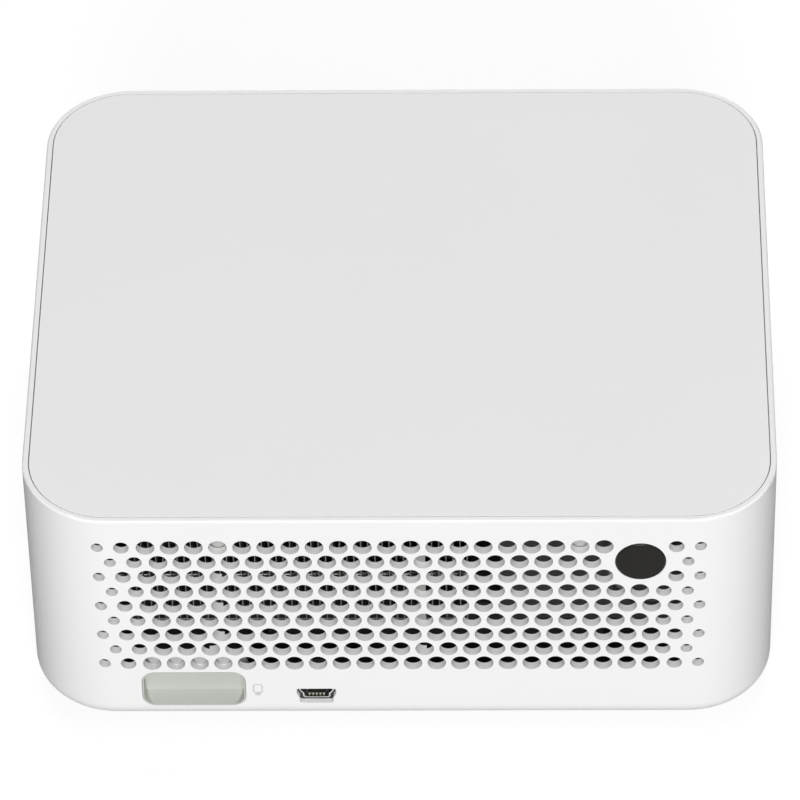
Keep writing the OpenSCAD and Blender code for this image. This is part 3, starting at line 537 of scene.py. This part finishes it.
# %% Lens glass
def make_glass():
    finish, tree, shader = start_finish("clear_glass")
    effect = place_group(tree, GRAIN, {"Fine Scale": 900.0, "Drift Scale": 60.0})
    drift = effect.outputs["Drift"]
    tint = mix_colours(tree, drift, (0.86, 0.9, 0.99), (0.95, 0.9, 0.97))
    tree.links.new(tint, shader.inputs["Base Color"])
    tree.links.new(stretch(tree, drift, 0.01, 0.03), shader.inputs["Roughness"])
    shader.inputs["Transmission Weight"].default_value = 0.9
    shader.inputs["IOR"].default_value = 1.52
    shader.inputs["Coat Weight"].default_value = 0.6
    return finish


keep(make_glass())

# %% [markdown]
# A circuit board is glass fibre under a thin solder mask, and the copper tracks lift the mask a
# little. A brick pattern with bricks of two millimetres gives the tracks, both as a lighter line
# and as a slight bump. Most boards are green, and those behind openings are black: a black mask,
# used there as painted shade so that they stay as dark as the space behind the holes.

# %% Circuit boards
TRACK_SCALE = 260.0
TRACK_WIDTH = 0.03


def make_board(name, tone_a, tone_b, track):
    finish, tree, shader = start_finish(name)
    tracks = tree.nodes.new("ShaderNodeTexBrick")
    tracks.inputs["Scale"].default_value = TRACK_SCALE
    tracks.inputs["Mortar Size"].default_value = TRACK_WIDTH
    for label, tone in (("Color1", tone_a), ("Color2", tone_b), ("Mortar", track)):
        tracks.inputs[label].default_value = (*tone, 1.0)
    tree.links.new(object_place(tree), tracks.inputs["Vector"])
    tree.links.new(tracks.outputs["Color"], shader.inputs["Base Color"])
    effect = place_group(tree, GRAIN, {"Fine Scale": 1500.0, "Drift Scale": 50.0})
    tree.links.new(stretch(tree, effect.outputs["Drift"], 0.25, 0.4), shader.inputs["Roughness"])
    shader.inputs["Coat Weight"].default_value = 0.3
    add_bump(tree, shader, tracks.outputs["Fac"], 0.3, 0.05 * MM)
    return finish


keep(
    make_board("green_board", (0.012, 0.10, 0.04), (0.02, 0.15, 0.06), (0.05, 0.26, 0.10)),
    # black_board's black mask goes on boards behind openings as painted shade for the dark
    # there.
    make_board("black_board", (0.010, 0.011, 0.010), (0.014, 0.015, 0.014),
               (0.028, 0.030, 0.028)),
)

# %% [markdown]
# Two places need a second colour on the same solid, the printed mark and the dark inside of a
# socket, which is partly painted shade. Both lay it over what the shader already shows, through
# a mask that is one where the new colour goes and nought elsewhere.


# %% Laying one colour over another
def find_shader(finish):
    return next(node for node in finish.node_tree.nodes if node.type == "BSDF_PRINCIPLED")


def lay_over(tree, shader, mask, colour):
    ground = shader.inputs["Base Color"].links[0].from_socket
    tree.links.new(mix_colours(tree, mask, ground, colour), shader.inputs["Base Color"])


print("case shader found:", find_shader(finishes["white_case"]).name)

# %% [markdown]
# A small pictogram is printed beside the wireless stick: the outline of a screen on a short
# foot. It could be a thin raised shape, but ink has no thickness that a hand could feel, so it
# is a mask in the case's own colour. The mask is worked out from Object coordinates, and it
# stops at the outer face. A power above two squares off an ellipse, which gives the soft
# corners of the screen and the crisp ones of the foot.

# %% Printed mark
MARK_X = -32.0 * MM
SCREEN_Z = 12.45 * MM
SCREEN_HALF = (1.1 * MM, 1.4 * MM)
SCREEN_CORNER = 5.0
MARK_LINE = 0.32 * MM
FOOT_Z = 10.65 * MM
FOOT_HALF = (0.65 * MM, 0.4 * MM)
FOOT_CORNER = 12.0
FACE_Y = -70.5 * MM
INK = (0.66, 0.66, 0.66)


def offset_ratio(tree, value, centre, half):
    away = math_node(tree, "ABSOLUTE", math_node(tree, "SUBTRACT", value, centre))
    return math_node(tree, "DIVIDE", away, half)


def round_area(tree, x, z, centre_z, half, corner):
    across = math_node(tree, "POWER", offset_ratio(tree, x, MARK_X, half[0]), corner)
    upward = math_node(tree, "POWER", offset_ratio(tree, z, centre_z, half[1]), corner)
    return math_node(tree, "LESS_THAN", math_node(tree, "ADD", across, upward), 1.0)


def print_mark(finish, ink):
    tree = finish.node_tree
    x, y, z = split_axes(tree, object_place(tree))
    hole = tuple(size - MARK_LINE for size in SCREEN_HALF)
    outer = round_area(tree, x, z, SCREEN_Z, SCREEN_HALF, SCREEN_CORNER)
    inner = round_area(tree, x, z, SCREEN_Z, hole, SCREEN_CORNER)
    foot = round_area(tree, x, z, FOOT_Z, FOOT_HALF, FOOT_CORNER)
    screen = math_node(tree, "SUBTRACT", outer, inner)
    shape = math_node(tree, "ADD", screen, foot, clamp=True)
    mask = math_node(tree, "MULTIPLY", shape, math_node(tree, "LESS_THAN", y, FACE_Y))
    lay_over(tree, find_shader(finish), mask, ink)
    print("mark printed on", finish.name, "at", in_mm((MARK_X, SCREEN_Z)))


print_mark(finishes["white_case"], INK)

# %% [markdown]
# Each solid takes the finish that its record names, so the solids and the record stay the one
# place where it is decided what a piece is made of.

# %% Dress every solid
slot_of = {row["node"]: row["material_slot"] for row in frame["record"]["subparts"]}
for name, piece in nodes.items():
    finish = finishes[slot_of[name]]
    if not piece.material_slots:
        piece.data.materials.append(finish)
    for place in piece.material_slots:
        place.material = finish
print("dressed:", len(nodes), "with", len(set(slot_of.values())), "finishes")

# %% [markdown]
# The video and memory sockets on the right side are bright folded sheet outside, with a dark
# plastic insert inside. One solid holds both, so its finish tells them apart by place: a box a
# little smaller than the socket turns everything within it dark and unmetallic, and leaves a
# bright rim at the mouth. The dark is partly the insert's own colour and partly painted shade,
# since it also covers the inner walls of the sheet.

# %% Socket insides: dark insert and painted shade
DARK_BOX_INSET = Vector((0.6 * MM, 0.3 * MM, 0.3 * MM))
# Dark tone for the socket's inside: the plastic insert's colour, and painted shade on the
# shell's inner walls.
INSERT_AND_SHADE_TONE = (0.02, 0.02, 0.021)


def inside_box(tree, axes, low, high):
    mask = None
    for value, start, end in zip(axes, low, high):
        middle = (start + end) / 2.0
        away = math_node(tree, "ABSOLUTE", math_node(tree, "SUBTRACT", value, middle))
        near = math_node(tree, "LESS_THAN", away, (end - start) / 2.0)
        mask = near if mask is None else math_node(tree, "MULTIPLY", mask, near)
    return mask


def darken_socket_insert_and_shade(name):
    low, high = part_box(name)
    finish = drawn_metal(name + "_steel", (0.52, 0.52, 0.54), (0.62, 0.62, 0.63), (0.25, 0.4))
    tree = finish.node_tree
    shader = find_shader(finish)
    axes = split_axes(tree, object_place(tree))
    # This mask paints the socket's inside dark: the insert, plus painted shade over the steel
    # shell's inner walls.
    mask = inside_box(tree, axes, low + DARK_BOX_INSET, high - DARK_BOX_INSET)
    lay_over(tree, shader, mask, INSERT_AND_SHADE_TONE)
    tree.links.new(math_node(tree, "SUBTRACT", 1.0, mask), shader.inputs["Metallic"])
    nodes[name].material_slots[0].material = finish
    print("painted_dark_inside:", name, in_mm((*low, *high)))


darken_socket_insert_and_shade("video_socket")
darken_socket_insert_and_shade("memory_socket")

# %% [markdown]
# The small data port has five plated contacts along the front of its tongue. They carry no
# load and are too thin to matter for strength, so they are added here and not in the solids.
# One is modelled as a slim blade: a cube is stretched in edit mode, its outer end is inset and
# pulled to a blunt nose, and a bevel rounds it.

# %% One port contact
BLADE_SIZE = (0.44 * MM, 1.2 * MM, 0.85 * MM)
NOSE = 0.08 * MM
SMOOTH_ANGLE = math.radians(40)


def select_faces(piece, wanted):
    bpy.ops.object.mode_set(mode="EDIT")
    bpy.ops.mesh.select_mode(type="FACE")
    bpy.ops.mesh.select_all(action="DESELECT")
    bpy.ops.object.mode_set(mode="OBJECT")
    for face in piece.data.polygons:
        face.select = wanted(face)
    bpy.ops.object.mode_set(mode="EDIT")


def at_outer_end(face):
    return face.normal.y < -0.9


def model_blade(name):
    bpy.ops.object.select_all(action="DESELECT")
    bpy.ops.mesh.primitive_cube_add(size=1.0)
    piece = bpy.context.object
    piece.name = name
    bpy.ops.object.mode_set(mode="EDIT")
    bpy.ops.transform.resize(value=BLADE_SIZE)
    bpy.ops.object.mode_set(mode="OBJECT")
    select_faces(piece, at_outer_end)
    bpy.ops.mesh.inset(thickness=NOSE)
    bpy.ops.transform.translate(value=(0.0, -NOSE, 0.0))
    bpy.ops.object.mode_set(mode="OBJECT")
    bevel = piece.modifiers.new("round", "BEVEL")
    bevel.width = NOSE / 2.0
    bevel.segments = 2
    bpy.ops.object.modifier_apply(modifier=bevel.name)
    bpy.ops.object.shade_smooth_by_angle(angle=SMOOTH_ANGLE)
    return piece


blade = model_blade("port_contact_1")
print("blade in mm:", in_mm(blade.dimensions, 2), "faces:", len(blade.data.polygons))

# %% [markdown]
# The blade is moved to the first place of the row, measured from the port's metal shell, and
# then copied along it. The move is made on the mesh in edit mode, so that every object stays at
# the origin, where Object coordinates are the real metres. Each copy gets a mesh of its own.

# %% Row of contacts
CONTACTS = 5
CONTACT_PITCH = 0.8 * MM
BLADE_BACK = NOSE * 1.5
BLADE_LOW = 0.92 * MM


def move_mesh(piece, step):
    bpy.ops.object.select_all(action="DESELECT")
    bpy.context.view_layer.objects.active = piece
    piece.select_set(True)
    bpy.ops.object.mode_set(mode="EDIT")
    bpy.ops.mesh.select_all(action="SELECT")
    bpy.ops.transform.translate(value=step)
    bpy.ops.object.mode_set(mode="OBJECT")


def copy_piece(piece, name, step):
    twin = piece.copy()
    twin.data = piece.data.copy()
    twin.name = name
    bpy.context.collection.objects.link(twin)
    move_mesh(twin, step)
    return twin


shell_low, shell_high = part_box("service_port")
port_middle = (shell_low + shell_high) / 2.0
first_x = port_middle.x - (CONTACTS - 1) / 2.0 * CONTACT_PITCH
blade_y = shell_low.y + BLADE_BACK + BLADE_SIZE[1] / 2.0
move_mesh(blade, (first_x, blade_y, port_middle.z - BLADE_LOW))
contacts = [blade]
for count in range(1, CONTACTS):
    step = (count * CONTACT_PITCH, 0.0, 0.0)
    contacts.append(copy_piece(blade, "port_contact_%d" % (count + 1), step))
for contact in contacts:
    contact.data.materials.clear()
    contact.data.materials.append(finishes["contact_plate"])
    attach(contact, "case")
print("contacts:", len(contacts), "first at x", in_mm((first_x,), 2))
